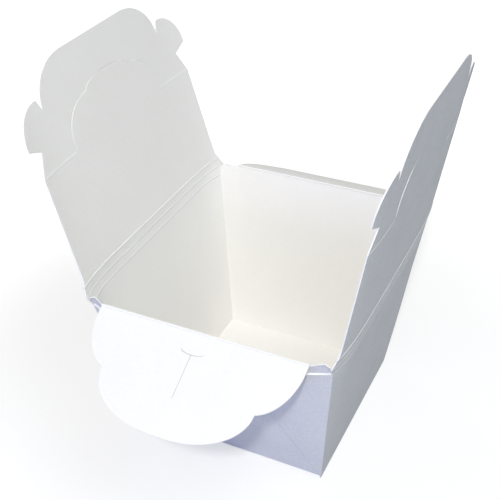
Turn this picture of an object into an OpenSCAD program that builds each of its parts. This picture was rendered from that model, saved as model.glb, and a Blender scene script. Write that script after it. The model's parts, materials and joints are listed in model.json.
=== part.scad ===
// Folding takeout carton: a tapered paperboard box with gusset corners and four lid flaps.
// Sizes are in millimetres. The box stands on the XY plane, centred on the Z axis, front towards -Y.
// The blank is one sheet: each corner gusset is folded double and lies flat on the outside of
// the front or back wall, so those two walls sit two sheets behind the corner folds.

/* [Board] */
// thickness of the paperboard
board_t = 0.5; // [0.3:0.05:0.9]
// gap left along each flap fold
fold_gap = 0.25; // [0.1:0.05:0.5]
// width of the bevel pressed outside the front and back folds
fold_bevel = 0.4; // [0.2:0.05:0.6]
// width of a cut slit
slit_w = 0.25; // [0.15:0.05:0.8]
// width of a pressed score line
score_w = 0.9; // [0.5:0.1:1.5]
// depth of a pressed score line
score_depth = 0.15; // [0.05:0.05:0.25]

/* [Box] */
// width of the base, left to right
base_w = 94; // [74:1:108]
// depth of the base, front to back
base_d = 92; // [72:1:112]
// width at the rim, left to right
top_w = 125; // [114:1:145]
// depth at the rim, front to back
top_d = 139; // [128:1:160]
// height of the rim, where the front and back flaps fold
rim_h = 91.5; // [60:0.5:120]
// drop from the rim to the top cut of the corner gussets
web_drop = 5.5; // [3:0.5:12]

/* [Rim corners] */
// distance between the parallel scores above and below the rim on the side walls
score_pitch = 4.5; // [3:0.5:8]
// how far a side flap is set in from each corner
shoulder_in = 5.7; // [4:0.1:8]
// radius of the flare at the foot of a side flap
foot_r = 5.5; // [3:0.5:8]
// rise of the rim beside the front and back flaps
rim_lug_h = 0.8; // [0.2:0.2:3.6]
// corner radius of that rise
rim_lug_r = 3; // [1:0.5:4]
// side gap between a front or back flap and the rise beside it
lug_gap = 0.8; // [0.4:0.1:2]

/* [Front and back flaps] */
// widest part of the flap
end_flap_w = 100.4; // [80:0.2:106]
// length of the flap from its fold
end_flap_len = 47.5; // [36:0.5:60]
// width between the two side notches
end_waist_w = 72.8; // [50:0.2:78]
// distance from the fold to the side notches
end_waist_at = 26.7; // [18:0.1:34]
// width of the straight stretch at the free end
end_tip_w = 8; // [4:1:45]
// distance from the fold to the curved cross slit
t_slit_at = 10.5; // [6:0.5:16]
// width of the curved cross slit
t_slit_w = 11; // [6:0.5:18]
// depth of that slit's curve
t_slit_bow = 1.8; // [1:0.2:3]
// length of the straight slit that runs on from it
t_slit_len = 20; // [8:0.5:24]
// angle of the front flap from straight up, outwards
front_open = 117; // [60:0.5:150]
// angle of the back flap from straight up, outwards
back_open = 118; // [60:0.5:150]

/* [Left and right flaps] */
// length of the flap from its fold
side_flap_len = 97.8; // [86:0.2:110]
// distance from the fold to the lock crease
lock_at = 53.2; // [44:0.2:60]
// taper of each side edge between the fold and the lock crease
side_taper = 1.2; // [0:0.1:3]
// width across the throat between the lock crease and the ears
throat_w = 115.4; // [108:0.2:122]
// distance from the fold to that throat
throat_at = 63.7; // [60:0.1:66]
// width across the ears
ear_w = 131.4; // [124:0.2:138]
// distance from the fold to the widest part of the ears
ear_at = 68.4; // [66:0.2:73]
// distance from the fold to the ear tips
ear_top = 84.2; // [81:0.1:88]
// width between the ear tips
ear_tip_w = 101; // [98:0.5:107]
// width between the notches inside the ears
lock_notch_w = 94.2; // [86:0.2:96]
// distance from the fold to those notches
lock_notch_at = 78.3; // [74:0.1:80]
// width of the straight stretch at the free end
lock_tip_w = 48; // [20:1:70]
// widest part of the cut tongue
tongue_w = 71.4; // [50:0.2:80]
// width between the steps of the cut tongue
tongue_step_w = 34; // [20:1:44]
// distance from the fold to those steps
tongue_step_at = 74.3; // [68:0.1:76]
// distance from the fold to the tip of the tongue
tongue_top = 78.9; // [76.5:0.1:88]
// angle of the left flap from straight up, outwards
left_open = 14; // [0:0.5:60]
// angle of the right flap from straight up, outwards
right_open = 9.5; // [0:0.5:60]

/* [Hidden] */
$fn = 48;
arc_steps = 14;
board_white = [0.95, 0.96, 0.97];
cut_over = 0.1;
ear_corner_r = 1.6;
foot_turn = 50;
ear_corner_from = -70;
ear_tip_r = 1.5;
lobe_start = 2;
lobe_end_angle = 77;
tongue_rise = 4;
strip_end_gap = 0.3;

// walls are numbered round the box from the front: 0 front, 1 right, 2 back, 3 left
FRONT = 0;
RIGHT = 1;
BACK = 2;
LEFT = 3;

// distance of a wall from the Z axis at its foot and at the rim
function foot_out(k) = (k % 2 == 0 ? base_d : base_w) / 2;
function rim_out(k) = (k % 2 == 0 ? top_d : top_w) / 2;
// half length of a wall at its foot and at the rim
function foot_run(k) = (k % 2 == 0 ? base_w : base_d) / 2;
function rim_run(k) = (k % 2 == 0 ? top_w : top_d) / 2;
// outward lean of a wall, its slope length to the rim, and its half length up the slope
function lean(k) = atan((rim_out(k) - foot_out(k)) / rim_h);
function slope(k) = rim_h / cos(lean(k));
function flare(k) = atan((rim_run(k) - foot_run(k)) / slope(k));
function run_at(k, s) = foot_run(k) + s * tan(flare(k));

// the folded gusset takes up half of the angle that the blank has left over at a base corner
web_half_angle = (90 - flare(FRONT) - flare(RIGHT)) / 2;
web_lean = web_half_angle - flare(FRONT);
web_top = slope(FRONT) - web_drop;
web_layers = 2;
end_wall_depth = web_layers * board_t;
web_foot = end_wall_depth;

// each flap turns on the middle of its sheet
end_axis_s = slope(FRONT);
end_axis_depth = end_wall_depth + board_t / 2;
side_axis_s = slope(RIGHT) + score_pitch;
side_axis_depth = board_t / 2;
fold_clear = board_t / 2 + fold_gap;
// a side flap's half width above its foot, and along its fold
side_edge = rim_run(RIGHT) - shoulder_in;
side_half = side_edge + foot_r * (1 - cos(foot_turn));

// points along an elliptical arc with centre c and radii r
function arc(c, r, from, to) =
    [for (i = [0:arc_steps])
        let (a = from + (to - from) * i / arc_steps)
        [c.x + r.x * cos(a), c.y + r.y * sin(a)]];

// a right-hand path joined to its mirror image
function both_sides(path) =
    concat(path, [for (i = [len(path) - 1:-1:0]) [-path[i].x, path[i].y]]);

// places a shape drawn on wall k: X along the wall, Y up its slope, Z out of its outer envelope
module on_wall(k) {
    rotate([0, 0, 90 * k])
        translate([0, -foot_out(k), 0])
            rotate([90 + lean(k), 0, 0])
                children();
}

// one sheet of board whose outer face lies at the given depth under the envelope
module sheet(depth) {
    translate([0, 0, -depth - board_t])
        linear_extrude(board_t)
            children();
}

// a straight wedge along X that points down from Z = 0: cut, it is a groove, and added, a bead
module score_wedge(length, depth) {
    slope_out = score_w / 2 / depth;
    translate([-length / 2, 0, 0])
        rotate([90, 0, 90])
            linear_extrude(length)
                polygon([
                    [-slope_out * (depth + cut_over), cut_over],
                    [0, -depth],
                    [slope_out * (depth + cut_over), cut_over]]);
}

// right-hand edge of a side wall, with the shoulder that sets the flap in from the corner
function side_wall_edge(k) =
    [[foot_run(k), 0], [rim_run(k), slope(k)], [side_half, slope(k) + score_pitch - fold_clear]];

// right-hand edge of a front or back wall, with the free strip above the gusset
function end_wall_edge(k) =
    let (
        strip_end = run_at(k, slope(k)) - board_t - strip_end_gap,
        lug_base = slope(k) + rim_lug_h - rim_lug_r)
    concat(
        [[foot_run(k), 0], [run_at(k, web_top), web_top], [strip_end, web_top]],
        arc([strip_end - rim_lug_r, lug_base], [rim_lug_r, rim_lug_r], 0, 90),
        [[end_flap_w / 2 + lug_gap, slope(k) - fold_clear]]);

module side_wall(k) {
    difference() {
        sheet(0)
            polygon(both_sides(side_wall_edge(k)));
        for (i = [0:1])
            translate([0, slope(k) - i * score_pitch, 0])
                score_wedge(rim_run(k) * 2 + cut_over, score_depth);
    }
    for (i = [0:1])
        translate([0, slope(k) - i * score_pitch, -board_t])
            score_wedge(side_half * 2, score_depth);
}

// bevel on the outside of a front or back wall's top edge, which lets the flap turn down
module fold_bevel_cut(k) {
    half = end_flap_w / 2 + lug_gap;
    steep = board_t / 2 / fold_bevel;
    translate([-half, slope(k) - fold_clear, -end_wall_depth])
        rotate([90, 0, 90])
            linear_extrude(half * 2)
                polygon([
                    [-fold_bevel - cut_over, steep * cut_over],
                    [cut_over, -board_t / 2 - steep * cut_over],
                    [cut_over, steep * cut_over]]);
}

module end_wall(k) {
    difference() {
        sheet(end_wall_depth)
            polygon(both_sides(end_wall_edge(k)));
        fold_bevel_cut(k);
    }
    for (side = [0, 1])
        mirror([side, 0, 0])
            gusset(k);
}

// a corner gusset folded double: a flat triangle with a rolled edge that rises from the base corner
module gusset(k) {
    reach = rim_run(k) + web_top;
    intersection() {
        translate([0, 0, -end_wall_depth - cut_over])
            linear_extrude(end_wall_depth + 2 * cut_over)
                polygon([
                    [0, web_foot],
                    [run_at(k, web_foot), web_foot],
                    [run_at(k, web_top), web_top],
                    [0, web_top]]);
        translate([foot_run(k), 0, 0])
            rotate([0, 0, web_lean])
                rotate([-90, 0, 0])
                    linear_extrude(reach)
                        polygon(concat(
                            arc([board_t, board_t], [board_t, board_t], 90, 270),
                            [[reach, 0], [reach, end_wall_depth]]));
    }
}

module base_panel() {
    translate([-base_w / 2, -base_d / 2 + end_wall_depth, 0])
        cube([base_w, base_d - 2 * end_wall_depth, board_t]);
}

module carton() {
    color(board_white) {
        base_panel();
        for (k = [RIGHT, LEFT])
            on_wall(k)
                side_wall(k);
        for (k = [FRONT, BACK])
            on_wall(k)
                end_wall(k);
    }
}

// places a flap drawn flat, with its fold along X, at its opening angle on wall k
module on_fold(k, axis_s, axis_depth, open) {
    on_wall(k)
        translate([0, axis_s, -axis_depth])
            rotate([open - lean(k), 0, 0])
                children();
}

// a flat flap with the rounded edge on which it turns
module flap_sheet(fold_half) {
    linear_extrude(board_t, center = true)
        children();
    rotate([0, 90, 0])
        cylinder(d = board_t, h = fold_half * 2, center = true);
}

// right-hand edge of a front or back flap: a lobe, a notch, a smaller lobe and a straight end
function end_flap_edge() =
    let (
        lobe_r = [
            (end_flap_w - end_waist_w) / 2 / (1 - cos(lobe_end_angle)),
            (end_waist_at - lobe_start) / sin(lobe_end_angle)],
        tip_r = [(end_waist_w - end_tip_w) / 2, end_flap_len - end_waist_at])
    concat(
        [[end_flap_w / 2, 0]],
        arc([end_flap_w / 2 - lobe_r.x, lobe_start], lobe_r, 0, lobe_end_angle),
        arc([end_tip_w / 2, end_waist_at], tip_r, 0, 90));

// curved cross slit and the straight slit below it, which take the lock ends
module t_slit() {
    cross_r = [t_slit_w / 2, t_slit_bow];
    inner_r = [t_slit_w / 2 - slit_w, t_slit_bow - slit_w];
    translate([0, t_slit_at - t_slit_bow])
        polygon(concat(
            arc([0, 0], cross_r, 0, 180),
            arc([0, 0], inner_r, 180, 0)));
    translate([-slit_w / 2, t_slit_at - slit_w])
        square([slit_w, t_slit_len + slit_w]);
}

module end_flap(k, open) {
    on_fold(k, end_axis_s, end_axis_depth, open)
        flap_sheet(end_flap_w / 2)
            difference() {
                polygon(both_sides(end_flap_edge()));
                t_slit();
            }
}

// right-hand edge of a side flap: straight panel, throat, ear, notch and rounded end
function side_flap_edge() =
    let (
        ear_r = [(ear_w - ear_tip_w) / 2, ear_top - ear_at],
        tip_r = [(lock_notch_w - lock_tip_w) / 2, side_flap_len - lock_notch_at])
    concat(
        arc([side_edge + foot_r, foot_r * sin(foot_turn)], [foot_r, foot_r], 180 + foot_turn, 180),
        [[side_edge - side_taper, lock_at], [throat_w / 2, throat_at]],
        arc([ear_w / 2 - ear_corner_r, ear_at], [ear_corner_r, ear_corner_r], ear_corner_from, 0),
        arc([ear_tip_w / 2, ear_at], ear_r, 0, 90),
        arc([ear_tip_w / 2, ear_top - ear_tip_r], [ear_tip_r, ear_tip_r], 90, 180),
        arc([lock_tip_w / 2, lock_notch_at], tip_r, 0, 90));

// right-hand edge of the stepped tongue, grown outwards by the given amount
function tongue_edge(grow) =
    let (
        low = lock_at + tongue_rise,
        lobe_r = [(tongue_w - tongue_step_w) / 2 + grow, tongue_step_at - low + grow],
        cap_r = [tongue_step_w / 2, tongue_top - tongue_step_at])
    concat(
        [[tongue_w / 2 + grow - slit_w, lock_at]],
        arc([tongue_step_w / 2, low], lobe_r, 0, 90),
        arc([0, tongue_step_at + grow], cap_r, 0, 90));

// slit round the tongue, which stays flat when the lock end is folded down
module tongue_slit() {
    difference() {
        polygon(both_sides(tongue_edge(slit_w)));
        polygon(both_sides(tongue_edge(0)));
    }
}

// the two lengths of lock crease beside the tongue
module lock_crease(trim) {
    crease_in = tongue_w / 2 + trim;
    crease_out = side_edge - side_taper - trim;
    for (side = [-1, 1])
        translate([side * (crease_in + crease_out) / 2, lock_at, 0])
            score_wedge(crease_out - crease_in, score_depth);
}

module side_flap(k, open) {
    on_fold(k, side_axis_s, side_axis_depth, open) {
        difference() {
            flap_sheet(side_half)
                difference() {
                    polygon(both_sides(side_flap_edge()));
                    tongue_slit();
                }
            translate([0, 0, board_t / 2])
                lock_crease(0);
        }
        translate([0, 0, -board_t / 2])
            lock_crease(score_w);
    }
}

module front_flap() {
    color(board_white)
        end_flap(FRONT, front_open);
}

module back_flap() {
    color(board_white)
        end_flap(BACK, back_open);
}

module left_flap() {
    color(board_white)
        side_flap(LEFT, left_open);
}

module right_flap() {
    color(board_white)
        side_flap(RIGHT, right_open);
}

carton();
front_flap();
back_flap();
left_flap();
right_flap();
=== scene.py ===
"""Folding takeout carton in white paperboard, standing open on a pale studio floor."""

from __future__ import annotations

import json
import logging
import math
from abc import ABC, abstractmethod
from dataclasses import dataclass, field
from enum import Enum
from typing import Any, Iterable, Union

import bpy
import numpy as np
from mathutils import Matrix, Vector

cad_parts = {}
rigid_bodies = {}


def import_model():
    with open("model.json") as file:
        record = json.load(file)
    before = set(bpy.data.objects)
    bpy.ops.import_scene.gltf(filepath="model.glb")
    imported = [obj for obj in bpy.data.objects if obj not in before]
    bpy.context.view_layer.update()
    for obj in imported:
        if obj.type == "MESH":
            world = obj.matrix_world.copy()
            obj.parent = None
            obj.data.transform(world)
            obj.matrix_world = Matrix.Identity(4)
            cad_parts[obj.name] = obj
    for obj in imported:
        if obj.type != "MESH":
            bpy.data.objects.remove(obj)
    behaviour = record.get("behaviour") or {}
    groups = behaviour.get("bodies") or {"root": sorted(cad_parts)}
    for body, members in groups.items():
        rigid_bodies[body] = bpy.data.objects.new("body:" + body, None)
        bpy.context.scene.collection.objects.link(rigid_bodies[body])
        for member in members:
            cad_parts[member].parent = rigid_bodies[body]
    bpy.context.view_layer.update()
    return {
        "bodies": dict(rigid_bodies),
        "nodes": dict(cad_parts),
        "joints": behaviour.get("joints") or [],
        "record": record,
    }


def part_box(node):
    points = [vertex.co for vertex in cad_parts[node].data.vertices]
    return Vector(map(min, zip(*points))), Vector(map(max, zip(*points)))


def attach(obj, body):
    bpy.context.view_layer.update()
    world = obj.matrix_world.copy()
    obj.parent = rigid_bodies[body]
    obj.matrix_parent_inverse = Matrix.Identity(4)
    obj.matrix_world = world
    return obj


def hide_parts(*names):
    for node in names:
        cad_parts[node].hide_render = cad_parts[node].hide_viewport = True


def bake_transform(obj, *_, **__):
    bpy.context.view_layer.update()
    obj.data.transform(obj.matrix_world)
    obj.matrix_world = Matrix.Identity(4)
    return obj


MM = 0.001
LOG = logging.getLogger("carton")

Colour = tuple[float, float, float]
Point = tuple[float, float, float]
Span = tuple[float, float]
Operand = Union["Value", float]


class Mask(Enum):
    """Numbers that are stored on the faces of the board for its finish to read."""

    INSIDE = "board_inside"
    CUT = "board_cut"
    FOLD = "board_fold"
    # painted shade along the folded edges of the gussets
    SEAM = "board_painted_seam_shade"


class Way(Enum):
    """The way a flap opens, as a step in X and Y."""

    FRONT = (0, -1)
    BACK = (0, 1)
    LEFT = (-1, 0)
    RIGHT = (1, 0)


class Value:
    """A shader number that is used in plain Python sums."""

    def __init__(self, graph: ShaderGraph, socket: bpy.types.NodeSocket) -> None:
        """Keeps the graph and the socket that carries the number."""
        self.graph = graph
        self.socket = socket

    def _sum(self, operation: str, *operands: Operand) -> Value:
        """Adds one Math node.

        Args:
            operation: name of the Math node's operation.
            operands: its values, in order.

        Returns:
            The node's result.
        """
        made = self.graph.node(
            "ShaderNodeMath", {"operation": operation}, dict(enumerate(operands))
        )
        return Value(self.graph, made.outputs[0])

    def __add__(self, other: Operand) -> Value:
        """Sum."""
        return self._sum("ADD", self, other)

    def __radd__(self, other: Operand) -> Value:
        """Sum, number first."""
        return self._sum("ADD", other, self)

    def __sub__(self, other: Operand) -> Value:
        """Difference."""
        return self._sum("SUBTRACT", self, other)

    def __mul__(self, other: Operand) -> Value:
        """Product."""
        return self._sum("MULTIPLY", self, other)

    def largest(self, other: Operand) -> Value:
        """The larger of two values."""
        return self._sum("MAXIMUM", self, other)

    def ramp(self, low: float, high: float) -> Value:
        """Smooth step of the value.

        Args:
            low: value that gives 0.
            high: value that gives 1, above or below low.

        Returns:
            A number from 0 to 1.
        """
        made = self.graph.node(
            "ShaderNodeMapRange",
            {"interpolation_type": "SMOOTHSTEP"},
            {"Value": self, "From Min": low, "From Max": high},
        )
        return Value(self.graph, made.outputs[0])


@dataclass(frozen=True)
class Grain:
    """A soft noise: the size of a speck, octaves of finer noise, and stretch along X, Y and Z."""

    size: float
    octaves: float
    stretch: Point = (1, 1, 1)


class ShaderGraph:
    """Node tree of one material or of the surround."""

    def __init__(self, tree: bpy.types.NodeTree) -> None:
        """Empties the tree and keeps it."""
        self.tree = tree
        tree.nodes.clear()

    def node(
        self,
        kind: str,
        settings: dict[str, Any] | None = None,
        inputs: dict[str | int, Any] | None = None,
    ) -> bpy.types.Node:
        """Adds one node.

        Args:
            kind: Blender's name of the node type.
            settings: properties that are set first.
            inputs: value or link of each socket, by name or index.

        Returns:
            The new node.
        """
        made = self.tree.nodes.new(kind)
        for key, setting in (settings or {}).items():
            setattr(made, key, setting)
        for key, given in (inputs or {}).items():
            source = given.socket if isinstance(given, Value) else given
            if isinstance(source, bpy.types.NodeSocket):
                self.tree.links.new(source, made.inputs[key])
            else:
                made.inputs[key].default_value = source
        return made

    def mask(self, mask: Mask) -> Value:
        """Number that is stored on the faces."""
        made = self.node("ShaderNodeAttribute", {"attribute_name": mask.value})
        return Value(self, made.outputs["Fac"])

    def distance(self) -> Value:
        """Distance from the object's origin.

        Returns:
            A number in metres.
        """
        origin = self.node("ShaderNodeTexCoord")
        made = self.node(
            "ShaderNodeVectorMath", {"operation": "LENGTH"}, {0: origin.outputs["Object"]}
        )
        return Value(self, made.outputs["Value"])

    def noise(self, grain: Grain) -> Value:
        """Soft noise in Object coordinates.

        Args:
            grain: how coarse the noise is.

        Returns:
            A number from 0 to 1.
        """
        origin = self.node("ShaderNodeTexCoord")
        scale = [1 / s for s in grain.stretch]
        laid = self.node(
            "ShaderNodeMapping", inputs={"Vector": origin.outputs["Object"], "Scale": scale}
        )
        made = self.node(
            "ShaderNodeTexNoise",
            inputs={
                "Vector": laid.outputs[0],
                "Scale": 1 / grain.size,
                "Detail": grain.octaves,
            },
        )
        return Value(self, made.outputs[0])

    def blend(self, share: Operand, first: Any, second: Any) -> bpy.types.NodeSocket:
        """Mixes two colours.

        Args:
            share: 0 for the first, 1 for the second.
            first: colour or link.
            second: colour or link.

        Returns:
            Socket of the mixed colour.
        """
        ends = [(*c, 1) if isinstance(c, tuple) else c for c in (first, second)]
        made = self.node(
            "ShaderNodeMix", {"data_type": "RGBA"}, {0: share, 6: ends[0], 7: ends[1]}
        )
        return made.outputs[2]


@dataclass(frozen=True)
class BoardFinish:
    """White carton board: smooth coat outside, softer face inside, bright cut edges.

    A range says where the smooth step of a noise starts and ends, and a share how much
    the noise weighs in the mottle. Raw board is board at a cut edge.
    """

    name: str = "white_carton_board"
    coat: Colour = (0.735, 0.75, 0.785)
    coat_shade: Colour = (0.64, 0.665, 0.705)
    lining: Colour = (0.9, 0.892, 0.872)
    lining_shade: Colour = (0.875, 0.865, 0.84)
    core: Colour = (0.93, 0.93, 0.925)
    crease: Colour = (0.95, 0.95, 0.95)
    # painted shade: dark colour laid on the gusset edges where the folded gusset would shade the
    # wall
    painted_seam_shade: Colour = (0.3, 0.31, 0.335)
    clouds: Grain = Grain(size=24 * MM, octaves=3)
    cloud_range: Span = (0.35, 0.7)
    cloud_share: float = 0.3
    specks: Grain = Grain(size=1.3 * MM, octaves=2)
    speck_range: Span = (0.3, 0.7)
    speck_share: float = 0.55
    fibres: Grain = Grain(size=0.45 * MM, octaves=4, stretch=(1, 3.5, 3.5))
    fibre_middle: float = 0.5
    fibre_share: float = 0.15
    wear_range: Span = (0.3, 0.6)
    wear_least: float = 0.55
    wear_more: float = 0.35
    coat_roughness: float = 0.7
    lining_roughness: float = 0.8
    fibre_roughness: float = 0.12
    raw_roughness: float = 0.25
    crease_rawness: float = 0.5
    fibre_relief: float = 0.02 * MM
    raw_relief: float = 2
    ripples: Grain = Grain(size=14 * MM, octaves=1)
    ripple_relief: float = 0.12 * MM
    relief_strength: float = 0.6
    ior: float = 1.42
    sheen: float = 0.05

    def material(self) -> bpy.types.Material:
        """Builds the node material.

        Returns:
            The finished material.
        """
        made = bpy.data.materials.new(self.name)
        made.use_nodes = True
        graph = ShaderGraph(made.node_tree)
        masks = {mask: graph.mask(mask) for mask in Mask}
        fibres = graph.noise(self.fibres)
        shader = graph.node(
            "ShaderNodeBsdfPrincipled",
            inputs={
                "Base Color": self.colour(graph, masks, fibres),
                "Roughness": self.roughness(masks, fibres),
                "Normal": self.relief(graph, masks, fibres),
                "IOR": self.ior,
                "Specular IOR Level": self.sheen,
            },
        )
        graph.node("ShaderNodeOutputMaterial", inputs={"Surface": shader.outputs[0]})
        return made

    def colour(
        self, graph: ShaderGraph, masks: dict[Mask, Value], fibres: Value
    ) -> bpy.types.NodeSocket:
        """Mottled faces, painted shade along the gusset seams, worn creases and pale cut edges.

        Args:
            graph: node tree of the material.
            masks: what is stored on the faces.
            fibres: noise of the board's fibres.

        Returns:
            Socket of the colour.
        """
        clouds = graph.noise(self.clouds).ramp(*self.cloud_range)
        specks = graph.noise(self.specks).ramp(*self.speck_range)
        mottle = clouds * self.cloud_share + specks * self.speck_share + fibres * self.fibre_share
        outer = graph.blend(mottle, self.coat, self.coat_shade)
        inner = graph.blend(mottle, self.lining, self.lining_shade)
        face = graph.blend(masks[Mask.INSIDE], outer, inner)
        # painted shade: a dark line on the gusset edges, standing in for the shade the folded
        # gusset casts on the wall
        painted_seam = graph.blend(masks[Mask.SEAM], face, self.painted_seam_shade)
        wear = self.wear_least + fibres.ramp(*self.wear_range) * self.wear_more
        creased = graph.blend(masks[Mask.FOLD] * wear, painted_seam, self.crease)
        return graph.blend(masks[Mask.CUT], creased, self.core)

    def roughness(self, masks: dict[Mask, Value], fibres: Value) -> Value:
        """How rough each face is.

        Args:
            masks: what is stored on the faces.
            fibres: noise of the board's fibres.

        Returns:
            The roughness.
        """
        lined = masks[Mask.INSIDE] * (self.lining_roughness - self.coat_roughness)
        fuzz = (fibres - self.fibre_middle) * self.fibre_roughness
        raw = masks[Mask.CUT].largest(masks[Mask.FOLD] * self.crease_rawness)
        return self.coat_roughness + lined + fuzz + raw * self.raw_roughness

    def relief(
        self, graph: ShaderGraph, masks: dict[Mask, Value], fibres: Value
    ) -> bpy.types.NodeSocket:
        """Fine fibres, deeper at cut edges, on a faint ripple.

        Args:
            graph: node tree of the material.
            masks: what is stored on the faces.
            fibres: noise of the board's fibres.

        Returns:
            Socket of the bumped normal.
        """
        fuzz = fibres * self.fibre_relief * (1 + masks[Mask.CUT] * self.raw_relief)
        height = fuzz + graph.noise(self.ripples) * self.ripple_relief
        bump = graph.node(
            "ShaderNodeBump",
            inputs={"Strength": self.relief_strength, "Distance": 1.0, "Height": height},
        )
        return bump.outputs[0]


def select_only(piece: bpy.types.Object) -> None:
    """Makes one object the only selected and the active one.

    Args:
        piece: the object.
    """
    bpy.ops.object.select_all(action="DESELECT")
    piece.select_set(True)
    bpy.context.view_layer.objects.active = piece


def places(piece: bpy.types.Object) -> np.ndarray:
    """Reads where a piece's vertices are.

    Args:
        piece: the object, at the origin.

    Returns:
        The place of each vertex, one in each row.
    """
    found = np.empty(3 * len(piece.data.vertices), np.float32)
    piece.data.vertices.foreach_get("co", found)
    return found.reshape(-1, 3)


def smooth_step(values: np.ndarray, low: float, high: float) -> np.ndarray:
    """Smooth step from 0 at low to 1 at high."""
    share = np.clip((values - low) / (high - low), 0, 1)
    return share * share * (3 - 2 * share)


class EditMode:
    """Selects one object alone and holds it in edit mode for the operators inside."""

    MERGE = 0.01 * MM

    def __init__(self, piece: bpy.types.Object, whole: bool = True) -> None:
        """Keeps the piece, and whether all of its mesh is selected."""
        self.piece = piece
        self.whole = whole

    def __enter__(self) -> EditMode:
        """Enters edit mode.

        Returns:
            This object.
        """
        select_only(self.piece)
        bpy.ops.object.mode_set(mode="EDIT")
        if self.whole:
            bpy.ops.mesh.select_all(action="SELECT")
        return self

    def __exit__(self, *problem: Any) -> None:
        """Goes back to object mode."""
        bpy.ops.object.mode_set(mode="OBJECT")

    def slice(self, points: Iterable[Vector], normal: Vector) -> None:
        """Cuts edges across the whole piece.

        Args:
            points: a point on each cutting plane.
            normal: the planes' shared normal.
        """
        for point in points:
            bpy.ops.mesh.select_all(action="SELECT")
            bpy.ops.mesh.bisect(plane_co=point, plane_no=normal, threshold=self.MERGE)


@dataclass(frozen=True)
class BoxSize:
    """Half widths and heights of the flat-walled box."""

    base_x: float = 47 * MM
    base_y: float = 46 * MM
    rim_x: float = 62.5 * MM
    rim_y: float = 69.5 * MM
    rim_z: float = 91.5 * MM
    web_top_z: float = 86 * MM

    def share_up(self, z: np.ndarray) -> np.ndarray:
        """Share of the rim's height, from 0 to 1."""
        return np.clip(z / self.rim_z, 0, 1)

    def half_widths(self, up: np.ndarray) -> tuple[np.ndarray, np.ndarray]:
        """Half widths along X and Y at each share of the rim's height."""
        return (
            self.base_x + (self.rim_x - self.base_x) * up,
            self.base_y + (self.rim_y - self.base_y) * up,
        )

    def leans(self) -> Span:
        """Lean of the side walls and of the front and back walls."""
        return (
            math.atan2(self.rim_x - self.base_x, self.rim_z),
            math.atan2(self.rim_y - self.base_y, self.rim_z),
        )


@dataclass(frozen=True)
class PaperBow:
    """How the folded board bows: the rim's corners draw in, and the long sides belly out."""

    size: BoxSize = BoxSize()
    top_z: float = 195 * MM
    corner_in_x: float = 3.0 * MM
    corner_in_y: float = 4.8 * MM
    left_belly: float = 1.0 * MM
    right_belly: float = 0.3 * MM
    side_turn_power: float = 6
    side_rise_power: float = 1.3
    end_turn_from: float = 0.8
    end_turn_power: float = 1.3
    end_rise_power: float = 2
    near_wall: Span = (0.75, 0.93)
    near_corner: Span = (0.9, 1)
    free_strip: float = 8 * MM
    fade: float = 10 * MM
    keep_at_top: float = 0.6
    limit: float = 10 * MM
    least: float = 0.001 * MM

    def shift(self, at: np.ndarray) -> np.ndarray:
        """How far the board moves.

        Args:
            at: places on the flat-walled carton, one in each row.

        Returns:
            The shift of each place.
        """
        x, y, z = at.T
        half_x, half_y = self.size.half_widths(self.size.share_up(z))
        along_x = np.minimum(1, np.abs(x) / half_x)
        along_y = np.minimum(1, np.abs(y) / half_y)
        out_x = self.side_out(x, z, along_y) * smooth_step(along_x, *self.near_wall)
        out_y = self.end_out(z, along_x) * smooth_step(along_y, *self.near_wall)
        return np.stack((np.sign(x) * out_x, np.sign(y) * out_y, np.zeros_like(z)), axis=1)

    def side_out(self, x: np.ndarray, z: np.ndarray, along_y: np.ndarray) -> np.ndarray:
        """How far the side walls and their flaps move out.

        Args:
            x: places along X.
            z: places along Z.
            along_y: share of the way from the wall's middle to its corners.

        Returns:
            The way out at each place.
        """
        up = self.size.share_up(z)
        over = np.clip((z - self.size.rim_z) / (self.top_z - self.size.rim_z), 0, 1)
        belly = np.where(x < 0, self.left_belly, self.right_belly)
        out = belly - (belly + self.corner_in_x) * along_y**self.side_turn_power
        return out * (up**self.side_rise_power * (1 - (1 - self.keep_at_top) * over))

    def end_out(self, z: np.ndarray, along_x: np.ndarray) -> np.ndarray:
        """How far the front and back walls move out, fading above the gussets.

        Args:
            z: places along Z.
            along_x: share of the way from the wall's middle to its corners.

        Returns:
            The way out at each place.
        """
        up = self.size.share_up(z)
        turn = np.maximum(0, along_x - self.end_turn_from) / (1 - self.end_turn_from)
        strip = self.free_strip * (1 - smooth_step(along_x, *self.near_corner))
        kept = np.clip(1 - (z - (self.size.web_top_z + strip)) / self.fade, 0, 1)
        return -self.corner_in_y * turn**self.end_turn_power * (up**self.end_rise_power * kept)

    def bend(self, piece: bpy.types.Object) -> None:
        """Bends a piece that has enough edges to follow the bow."""
        self.move(piece, self.shift(places(piece)))

    def move(self, piece: bpy.types.Object, shifts: np.ndarray) -> None:
        """Moves the vertices of a piece with weighted Displace modifiers, one for each way.

        Args:
            piece: board piece.
            shifts: shift of each vertex, one in each row.
        """
        select_only(piece)
        for axis, letter in enumerate("XYZ"):
            for sign in (-1, 1):
                self.push(piece, letter, sign, np.maximum(0, sign * shifts[:, axis]))
        piece.vertex_groups.clear()

    def push(self, piece: bpy.types.Object, letter: str, sign: int, reach: np.ndarray) -> None:
        """Moves vertices along one axis.

        Args:
            piece: the active board piece.
            letter: X, Y or Z.
            sign: 1 or -1.
            reach: how far each vertex moves.
        """
        moved = np.flatnonzero(reach > self.least)
        if not len(moved):
            return
        group = piece.vertex_groups.new(name=f"bow_{letter}_{sign}")
        for index in moved:
            group.add([int(index)], reach[index] / self.limit, "REPLACE")
        mover = piece.modifiers.new("bow", "DISPLACE")
        mover.direction = letter
        mover.mid_level = 0
        mover.strength = sign * self.limit
        mover.vertex_group = group.name
        bpy.ops.object.modifier_apply(modifier=mover.name)


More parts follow.
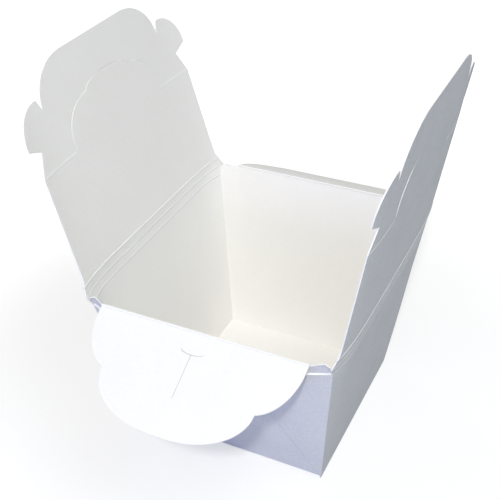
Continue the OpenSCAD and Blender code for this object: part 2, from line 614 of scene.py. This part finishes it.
@dataclass
class BoardPiece:
    """A piece of the folded board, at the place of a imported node."""

    MERGE = 0.005 * MM
    SAME_PLANE_DEG = 0.3
    SCORED_BELOW = 0.985
    EDGE_MARGIN = 0.3 * MM

    node: str
    name: str
    smooth_deg: float = 9
    piece: bpy.types.Object | None = field(default=None, init=False)

    def adopt(self, frame: dict[str, Any]) -> None:
        """Copies the node's mesh, merges its corners and clears its triangles.
        """
        mesh = frame["nodes"][self.node].data.copy()
        mesh.name = self.name
        mesh.materials.clear()
        self.piece = bpy.data.objects.new(self.name, mesh)
        bpy.context.scene.collection.objects.link(self.piece)
        select_only(self.piece)
        bpy.ops.mesh.customdata_custom_splitnormals_clear()
        with EditMode(self.piece):
            bpy.ops.mesh.remove_doubles(threshold=self.MERGE)
            bpy.ops.mesh.dissolve_limited(angle_limit=math.radians(self.SAME_PLANE_DEG))

    def arrays(self) -> tuple[np.ndarray, np.ndarray]:
        """Reads the piece's faces.

        Returns:
            Their centres and their normals, one in each row.
        """
        count = len(self.piece.data.polygons)
        centres = np.empty(count * 3, np.float32)
        normals = np.empty(count * 3, np.float32)
        self.piece.data.polygons.foreach_get("center", centres)
        self.piece.data.polygons.foreach_get("normal", normals)
        return centres.reshape(-1, 3), normals.reshape(-1, 3)

    def store(self, mask: Mask, values: np.ndarray) -> None:
        """Stores one number per face for the finish to read."""
        layer = self.piece.data.attributes.new(mask.value, "FLOAT", "FACE")
        layer.data.foreach_set("value", values.astype(np.float32))

    def dress(self, board: bpy.types.Material) -> None:
        """Smooths the shading and gives the piece its board.

        Args:
            board: the finished material.
        """
        select_only(self.piece)
        bpy.ops.object.shade_smooth_by_angle(angle=math.radians(self.smooth_deg))
        self.piece.data.materials.append(board)
        LOG.info("%s: %d faces", self.name, len(self.piece.data.polygons))


@dataclass
class CartonBox(BoardPiece):
    """Base, four tapered walls and the four folded corner gussets."""

    FLAT_ABOVE = 0.9
    TURNED_IN = -0.05
    END_SHEETS = (2, 3)

    size: BoxSize = BoxSize()
    grid: float = 5 * MM

    def build(self, frame: dict[str, Any], bow: PaperBow) -> None:
        """Makes the box.

        Args:
            bow: how the board bows.
        """
        self.adopt(frame)
        low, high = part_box(self.node)
        with EditMode(self.piece) as edit:
            for axis in range(3):
                normal = Vector([float(i == axis) for i in range(3)])
                count = int((high[axis] - low[axis]) / self.grid)
                steps = [low[axis] + (i + 0.5) * self.grid for i in range(count)]
                edit.slice([normal * s for s in steps], normal)
        self.mark()
        bow.bend(self.piece)

    def sheets(self) -> np.ndarray:
        """Outward normals of the right, left, back and front walls and the base.

        Returns:
            The normals, one in each row.
        """
        side, end = self.size.leans()
        return np.array(
            [
                (math.cos(side), 0, -math.sin(side)),
                (-math.cos(side), 0, -math.sin(side)),
                (0, math.cos(end), -math.sin(end)),
                (0, -math.cos(end), -math.sin(end)),
                (0, 0, -1),
            ]
        )

    def mark(self) -> None:
        """Stores which faces are inside, cut edges, scores, or gusset edges that take a painted
        shade line.
        """
        centres, normals = self.arrays()
        facing = normals @ self.sheets().T
        best = np.abs(facing).argmax(axis=1)
        towards = facing[np.arange(len(best)), best]
        flat = np.abs(towards) > self.FLAT_ABOVE
        high = centres[:, 2] > self.size.web_top_z - self.EDGE_MARGIN
        turned_in = np.sign(centres[:, 0]) * normals[:, 0] < self.TURNED_IN
        self.store(Mask.INSIDE, (towards < 0) & flat)
        self.store(Mask.CUT, ~flat & high)
        self.store(Mask.FOLD, flat & (np.abs(towards) < self.SCORED_BELOW))
        # painted shade: flat faces of the gusset edges that turn in towards the wall
        self.store(Mask.SEAM, turned_in & np.isin(best, self.END_SHEETS) & flat)


@dataclass(kw_only=True)
class LidFlap(BoardPiece, ABC):
    """A lid flap, with its fold along a rim.

    The place of the fold's axis and the flap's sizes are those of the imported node, and
    open_deg is how far the flap leans out from straight up at rest.
    """

    FLAT_ABOVE = 0.85

    way: Way
    open_deg: float
    axis_out: float
    axis_z: float
    length: float
    half_width: float
    half_fold: float
    bowed: bool = False
    grid: float = 5 * MM
    cut_past: float = 1.1

    def out(self) -> Vector:
        """Unit step away from the box."""
        return Vector((*self.way.value, 0))

    def along(self) -> Vector:
        """Unit step along the fold."""
        return Vector((0, 0, 1)).cross(self.out())

    def up(self) -> Vector:
        """Unit step in the flap from its fold to its free end."""
        turn = math.radians(self.open_deg)
        return self.out() * math.sin(turn) + Vector((0, 0, math.cos(turn)))

    def face(self) -> Vector:
        """Unit normal of the flap's inside."""
        turn = math.radians(self.open_deg)
        return self.out() * -math.cos(turn) + Vector((0, 0, math.sin(turn)))

    def root(self) -> Vector:
        """Middle of the fold."""
        return self.out() * self.axis_out + Vector((0, 0, self.axis_z))

    def reach(self, step: Vector) -> np.ndarray:
        """Distance of each vertex from the middle of the fold along a unit step."""
        return (places(self.piece) - np.array(self.root())) @ np.array(step)

    @abstractmethod
    def settle(self) -> np.ndarray:
        """How each vertex shifts, as the board of this flap lies."""

    @abstractmethod
    def join(self) -> None:
        """Ties the flap to the body that it moves with, or bakes its place into its mesh."""

    def build(self, frame: dict[str, Any], bow: PaperBow) -> None:
        """Makes the flap.

        Args:
            bow: how the board bows.
        """
        self.adopt(frame)
        self.cut_grid()
        self.mark()
        bow.move(self.piece, self.settle())
        if self.bowed:
            bow.bend(self.piece)

    def cut_grid(self) -> None:
        """Cuts a grid of edges along and across the flap."""
        up, along = self.up(), self.along()
        rows = range(int(self.length / self.grid))
        count = int(self.cut_past * self.half_width / self.grid)
        columns = range(-count, count + 1)
        with EditMode(self.piece) as edit:
            edit.slice([self.root() + up * (i + 0.5) * self.grid for i in rows], up)
            edit.slice([along * i * self.grid for i in columns], along)

    def mark(self) -> None:
        """Stores which faces are inside, cut edges, or creases and scores."""
        centres, normals = self.arrays()
        facing = normals @ np.array(self.face())
        flat = np.abs(facing) > self.FLAT_ABOVE
        high = (centres - np.array(self.root())) @ np.array(self.up())
        at_fold = high < self.EDGE_MARGIN
        self.store(Mask.INSIDE, facing > 0)
        self.store(Mask.CUT, ~flat & ~at_fold)
        self.store(Mask.FOLD, at_fold | flat & (np.abs(facing) < self.SCORED_BELOW))


@dataclass(kw_only=True)
class EndFlap(LidFlap):
    """Front or back flap with a cloud outline and a T-shaped slit.

    Its free end is raised by rise and lowered by droop. The rise grows evenly from the
    fold, and the droop with the square of the distance, so that the board curls.
    """

    axis_out: float = 68.289 * MM
    axis_z: float = 91.811 * MM
    length: float = 48 * MM
    half_width: float = 50.2 * MM
    half_fold: float = 50.2 * MM
    rise: float = 0
    droop: float = 0

    def settle(self) -> np.ndarray:
        """How the flap curls.

        Returns:
            The shift of each vertex.
        """
        share = np.clip(self.reach(self.up()) / self.length, 0, 1)
        return np.outer(self.rise * share - self.droop * share**2, (0, 0, 1))

    def join(self) -> None:
        """Lets the flap turn as one stiff piece."""
        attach(self.piece, self.node)


@dataclass(kw_only=True)
class SideFlap(LidFlap):
    """Left or right lid flap with a locking end and a cut tongue."""

    axis_out: float = 63.005 * MM
    axis_z: float = 95.979 * MM
    length: float = 98 * MM
    half_width: float = 66 * MM
    half_fold: float = 65.75 * MM
    bowed: bool = True
    bend_zone: float = 5 * MM
    lock_at: float = 53.2 * MM
    tongue_low: float = 57.2 * MM
    tongue_half: float = 35.7 * MM
    step_half: float = 17 * MM
    step_at: float = 74.3 * MM
    tongue_top: float = 78.9 * MM
    half_slit: float = 0.125 * MM
    slit_closes: float = 0.005
    tongue_lift: float = 0.22 * MM
    lift_from: Span = (-0.1, 0.45)
    lift_within: float = 5 * MM

    def on_tongue(self, high: np.ndarray, across: np.ndarray) -> np.ndarray:
        """Which places lie on the tongue: within its lobes or its cap.

        Args:
            high: distance from the fold.
            across: distance from the flap's middle line.

        Returns:
            True for each place on the tongue.
        """
        lobe = np.hypot(
            np.maximum(0, np.abs(across) - self.step_half)
            / (self.tongue_half + self.half_slit - self.step_half),
            np.maximum(0, high - self.tongue_low)
            / (self.step_at + self.half_slit - self.tongue_low),
        )
        cap = np.hypot(
            across / self.step_half,
            np.maximum(0, high - self.step_at - self.half_slit)
            / (self.tongue_top - self.step_at),
        )
        return (lobe < 1) | (cap < 1)

    def settle(self) -> np.ndarray:
        """How the cut tongue lies: its slit nearly closed, and its front edge raised a little.

        Returns:
            The shift of each vertex.
        """
        high, across = self.reach(self.up()), self.reach(self.along())
        share = smooth_step(high, self.lock_at, self.lock_at + self.lift_within)
        share *= self.on_tongue(high, across)
        front = -places(self.piece)[:, 1] / self.tongue_half
        lift = self.tongue_lift * smooth_step(front, *self.lift_from)
        return (
            np.outer(share * self.slit_closes * across, self.along())
            + np.outer(share * self.slit_closes * (high - self.lock_at), self.up())
            + np.outer(share * lift, (1, 0, 0))
        )

    def join(self) -> None:
        """Bakes the flap's place into its mesh; it is tied to no body, and its foot gets no
        smooth turn.
        """
        end = self.root() + self.up() * self.bend_zone
        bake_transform(self.piece, "carton", self.node, start=self.root(), end=end)


@dataclass
class FoldRoll(BoardPiece):
    """The rounded back of the bent board along a flap's fold."""

    END_ABOVE = 0.9

    radius: float = 0.5 * MM
    sides: int = 12
    dome: float = 0.2 * MM
    wear: float = 0.4
    grid: float = 4 * MM

    def build(self, flap: LidFlap, bow: PaperBow) -> None:
        """Makes the roll.

        Args:
            flap: the flap that turns on it.
            bow: how the board bows.
        """
        along = flap.along()
        bpy.ops.object.select_all(action="DESELECT")
        bpy.ops.mesh.primitive_cylinder_add(
            vertices=self.sides, radius=self.radius, depth=2 * flap.half_fold
        )
        self.piece = bpy.context.object
        self.piece.name = self.piece.data.name = self.name
        turn = along.to_track_quat("Z", "Y").to_matrix().to_4x4()
        self.piece.matrix_world = Matrix.Translation(flap.root()) @ turn
        bpy.ops.object.transform_apply(location=True, rotation=True, scale=True)
        self.round_ends(along)
        count = int(flap.half_fold / self.grid)
        with EditMode(self.piece) as edit:
            edit.slice([along * i * self.grid for i in range(-count, count + 1)], along)
        self.mark(flap)
        if flap.bowed:
            bow.bend(self.piece)

    def round_ends(self, along: Vector) -> None:
        """Domes the two flat ends.

        Args:
            along: unit step along the roll.
        """
        for polygon in self.piece.data.polygons:
            polygon.select = abs(polygon.normal.dot(along)) > self.END_ABOVE
        with EditMode(self.piece, whole=False):
            bpy.ops.mesh.select_mode(type="FACE")
            bpy.ops.mesh.inset(thickness=self.dome, depth=self.dome)

    def mark(self, flap: LidFlap) -> None:
        """Stores which faces are inside, and a light wear on all of them.

        Args:
            flap: the flap that turns on the roll.
        """
        normals = self.arrays()[1]
        inward = np.array(flap.face() - flap.out())
        self.store(Mask.INSIDE, normals @ inward > 0)
        self.store(Mask.CUT, np.zeros(len(normals)))
        self.store(Mask.FOLD, np.full(len(normals), self.wear))


@dataclass
class Carton:
    """The whole carton: the box, its four lid flaps and a roll along each fold."""

    finish: BoardFinish = BoardFinish()
    bow: PaperBow = PaperBow()

    @staticmethod
    def flaps() -> tuple[LidFlap, ...]:
        """The lid flaps, as they stand open.

        Returns:
            The front, back, left and right flap.
        """
        return (
            EndFlap("front_flap", "board_front_flap", way=Way.FRONT, open_deg=117),
            EndFlap(
                "back_flap",
                "board_back_flap",
                way=Way.BACK,
                open_deg=118,
                rise=6.7 * MM,
                droop=7.4 * MM,
            ),
            SideFlap("left_flap", "board_left_flap", way=Way.LEFT, open_deg=14),
            SideFlap(
                "right_flap",
                "board_right_flap",
                way=Way.RIGHT,
                open_deg=9.5,
                lift_from=(0.6, 0.95),
            ),
        )

    def build(self, frame: dict[str, Any]) -> None:
        """Makes every piece, ties the box, the end flaps and the rolls to a body, and bakes the
        side flaps' places into their meshes.
        """
        board = self.finish.material()
        box = CartonBox("carton", "board_box")
        box.build(frame, self.bow)
        box.dress(board)
        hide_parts("carton")
        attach(box.piece, "carton")
        flaps = self.flaps()
        for flap in flaps:
            flap.build(frame, self.bow)
            flap.dress(board)
            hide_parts(flap.node)
            flap.join()
        for flap in flaps:
            roll = FoldRoll(flap.node, flap.node.replace("flap", "fold"))
            roll.build(flap, self.bow)
            roll.dress(board)
            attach(roll.piece, "carton")


@dataclass(frozen=True)
class Lamp:
    """A soft square lamp: its place, the side of its square, its power, colour and aim."""

    name: str
    at: Point
    size: float
    watts: float
    tint: Colour
    aim: Point = (0, 0, 0.08)

    def place(self) -> None:
        """Adds the lamp to the scene."""
        data = bpy.data.lights.new(self.name, "AREA")
        data.size = self.size
        data.energy = self.watts
        data.color = self.tint
        placed = bpy.data.objects.new(self.name, data)
        bpy.context.scene.collection.objects.link(placed)
        turn = (Vector(self.at) - Vector(self.aim)).to_track_quat("Z", "Y")
        placed.matrix_world = Matrix.Translation(self.at) @ turn.to_matrix().to_4x4()


@dataclass(frozen=True)
class Studio:
    """Pale floor, white surround, soft lamps and the camera."""

    floor_size: float = 6.0
    floor_drop: float = 0.2 * MM
    # glow near the carton, set low as painted shade; it fades to white over the range below
    floor_grey: float = 0.52
    near_glow_painted_shade: float = 0.52
    painted_shade_fade: Span = (0.12, 0.4)
    white: Colour = (1, 1, 1)
    ambient: Colour = (0.24, 0.248, 0.256)
    lens: float = 65.74
    sensor: float = 36
    clip_start: float = 0.01
    eye: Point = (157.6693 * MM, -325.0236 * MM, 342.8830 * MM)
    right: Point = (0.898954, 0.436679, -0.034547)
    up: Point = (-0.223817, 0.525681, 0.820710)
    back: Point = (0.376547, -0.730049, 0.570299)
    lamps: tuple[Lamp, ...] = (
        Lamp("front", at=(0.42, -1.1, 1.32), size=0.1, watts=14.8, tint=(1, 0.975, 0.935)),
        Lamp("side", at=(0.9, -0.2, 1.45), size=0.9, watts=8, tint=(0.76, 0.85, 0.92)),
        Lamp(
            "fill",
            at=(-0.1, -1.0, 0.06),
            size=0.5,
            watts=4.6,
            tint=(0.5, 0.55, 1),
            aim=(0, -0.06, 0.05),
        ),
        Lamp("overhead", at=(0, -0.1, 1.6), size=1.2, watts=2.6, tint=(1, 0.94, 0.8)),
        Lamp("back", at=(-1.2, 0.8, 0.3), size=0.6, watts=4.2, tint=(1, 0.99, 0.97)),
    )

    def camera(self) -> None:
        """Sets the camera where the photograph was taken from."""
        data = bpy.data.cameras.new("camera")
        data.lens = self.lens
        data.sensor_width = self.sensor
        data.clip_start = self.clip_start
        placed = bpy.data.objects.new("camera", data)
        bpy.context.scene.collection.objects.link(placed)
        turn = Matrix((self.right, self.up, self.back)).transposed().to_4x4()
        placed.matrix_world = Matrix.Translation(self.eye) @ turn
        bpy.context.scene.camera = placed

    @staticmethod
    def seen_directly(graph: ShaderGraph) -> Value:
        """Tells what is seen, itself or in a reflection, from what only lights.

        Args:
            graph: node tree that asks.

        Returns:
            1 for camera, glossy and transmission rays, 0 for the rest.
        """
        path = graph.node("ShaderNodeLightPath")
        rays = ("Is Camera Ray", "Is Glossy Ray", "Is Transmission Ray")
        camera, glossy, through = (Value(graph, path.outputs[ray]) for ray in rays)
        return camera.largest(glossy).largest(through)

    def surround(self) -> None:
        """White surround that lights the box only softly."""
        world = bpy.data.worlds.new("surround")
        world.use_nodes = True
        graph = ShaderGraph(world.node_tree)
        white = graph.node("ShaderNodeBackground", inputs={"Color": (*self.white, 1)})
        soft = graph.node("ShaderNodeBackground", inputs={"Color": (*self.ambient, 1)})
        both = graph.node(
            "ShaderNodeMixShader",
            inputs={0: self.seen_directly(graph), 1: soft.outputs[0], 2: white.outputs[0]},
        )
        graph.node("ShaderNodeOutputWorld", inputs={"Surface": both.outputs[0]})
        bpy.context.scene.world = world

    def floor(self) -> None:
        """Pale floor that shows white further out, keeps the shadow, and has painted shade near
        the carton.
        """
        bpy.ops.object.select_all(action="DESELECT")
        bpy.ops.mesh.primitive_plane_add(size=self.floor_size, location=(0, 0, -self.floor_drop))
        made = bpy.context.object
        made.name = "floor"
        made.data.materials.append(self.floor_finish())

    def floor_finish(self) -> bpy.types.Material:
        """Builds the floor's material: grey that takes the shadow, and a glow that is seen,
        dimmed near the carton as painted shade and white further out.

        Returns:
            The finished material.
        """
        finish = bpy.data.materials.new("pale_floor")
        finish.use_nodes = True
        graph = ShaderGraph(finish.node_tree)
        grey = graph.node("ShaderNodeBsdfDiffuse", inputs={"Color": (*[self.floor_grey] * 3, 1)})
        # painted shade: the glow is dimmer near the carton, which darkens the floor there and
        # also lets the real shadow show
        far = graph.distance().ramp(*self.painted_shade_fade)
        glow_with_painted_shade = graph.blend(far, (self.near_glow_painted_shade,) * 3, self.white)
        glow = graph.node("ShaderNodeEmission", inputs={"Color": glow_with_painted_shade})
        dark = graph.node("ShaderNodeEmission", inputs={"Strength": 0.0})
        seen = graph.node(
            "ShaderNodeMixShader",
            inputs={0: self.seen_directly(graph), 1: dark.outputs[0], 2: glow.outputs[0]},
        )
        both = graph.node("ShaderNodeAddShader", inputs={0: grey.outputs[0], 1: seen.outputs[0]})
        graph.node("ShaderNodeOutputMaterial", inputs={"Surface": both.outputs[0]})
        return finish

    def build(self) -> None:
        """Sets up the whole studio."""
        bpy.context.scene.view_settings.view_transform = "Standard"
        self.camera()
        self.surround()
        self.floor()
        for lamp in self.lamps:
            lamp.place()
        LOG.info("studio ready")


def main() -> None:
    """Builds the studio and the carton."""
    logging.basicConfig(level=logging.INFO, format="%(name)s %(message)s")
    for old in list(bpy.data.objects):
        bpy.data.objects.remove(old)
    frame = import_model()
    Studio().build()
    Carton().build(frame)


if __name__ == "__main__":
    main()
